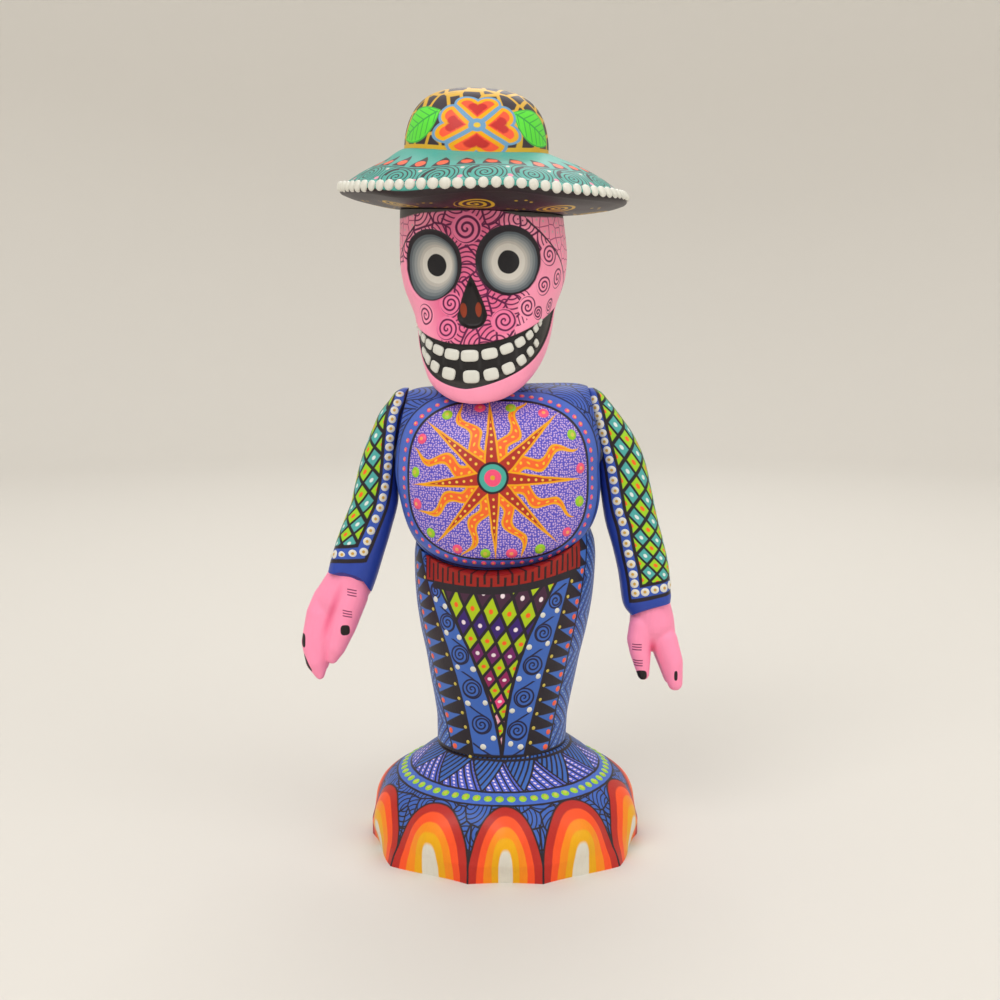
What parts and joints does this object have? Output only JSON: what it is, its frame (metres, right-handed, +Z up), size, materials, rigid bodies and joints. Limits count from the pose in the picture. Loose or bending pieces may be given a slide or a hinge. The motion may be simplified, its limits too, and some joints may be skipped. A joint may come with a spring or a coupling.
{
  "type": "carved and painted catrina figure",
  "caption": "Free-standing skeleton lady in a brimmed hat, barrel chest on a columnar skirt and petalled foot, with arms, head and hat that turn on wooden pegs.",
  "frame": {"origin": "middle of the foot's underside, on the surface that the figure stands on", "axes": "+Z up through the hat, -Y the way the chest faces, +X towards the figure's left arm"},
  "size_m": [0.1533, 0.1102, 0.2957],
  "materials": {
    "painted_petals": "satin acrylic paint over sanded wood",
    "painted_skirt": "satin acrylic paint over sanded wood",
    "painted_bodice": "satin acrylic paint over sanded wood",
    "painted_skull": "satin acrylic paint over sanded wood",
    "painted_hat": "satin acrylic paint over sanded wood",
    "painted_sleeve": "satin acrylic paint over sanded wood",
    "painted_hand": "satin acrylic paint over sanded wood",
    "bare_wood": "bare sanded wood"
  },
  "bodies": {
    "figure": {"base": "painted_petals", "base_dowel": "bare_wood", "skirt": "painted_skirt", "waist_dowel": "bare_wood", "torso": "painted_bodice", "neck_peg": "bare_wood", "shoulder_peg_right": "bare_wood", "shoulder_peg_left": "bare_wood"},
    "head": {"head": "painted_skull", "hat_peg": "bare_wood"},
    "hat": {"hat": "painted_hat"},
    "right_arm": {"sleeve_right": "painted_sleeve", "wrist_peg_right": "bare_wood", "hand_right": "painted_hand"},
    "left_arm": {"sleeve_left": "painted_sleeve", "wrist_peg_left": "bare_wood", "hand_left": "painted_hand"}
  },
  "joints": [
    {"name": "head_turn", "type": "hinge", "parent": "figure", "child": "head", "pos_m": [-0.0083, 0, 0.19], "axis": [0, 0, 1], "range_deg": [-14, 20]},
    {"name": "hat_turn", "type": "hinge", "parent": "head", "child": "hat", "pos_m": [-0.0083, 0, 0.2495], "axis": [0.0349, 0, 0.9994], "continuous": true},
    {"name": "right_arm_swing", "type": "hinge", "parent": "figure", "child": "right_arm", "pos_m": [-0.0406, 0, 0.168], "axis": [-0.9763, 0, 0.2164], "range_deg": [-25, 100]},
    {"name": "left_arm_swing", "type": "hinge", "parent": "figure", "child": "left_arm", "pos_m": [0.0354, 0, 0.168], "axis": [-0.9763, 0, -0.2164], "range_deg": [-25, 100]}
  ]
}
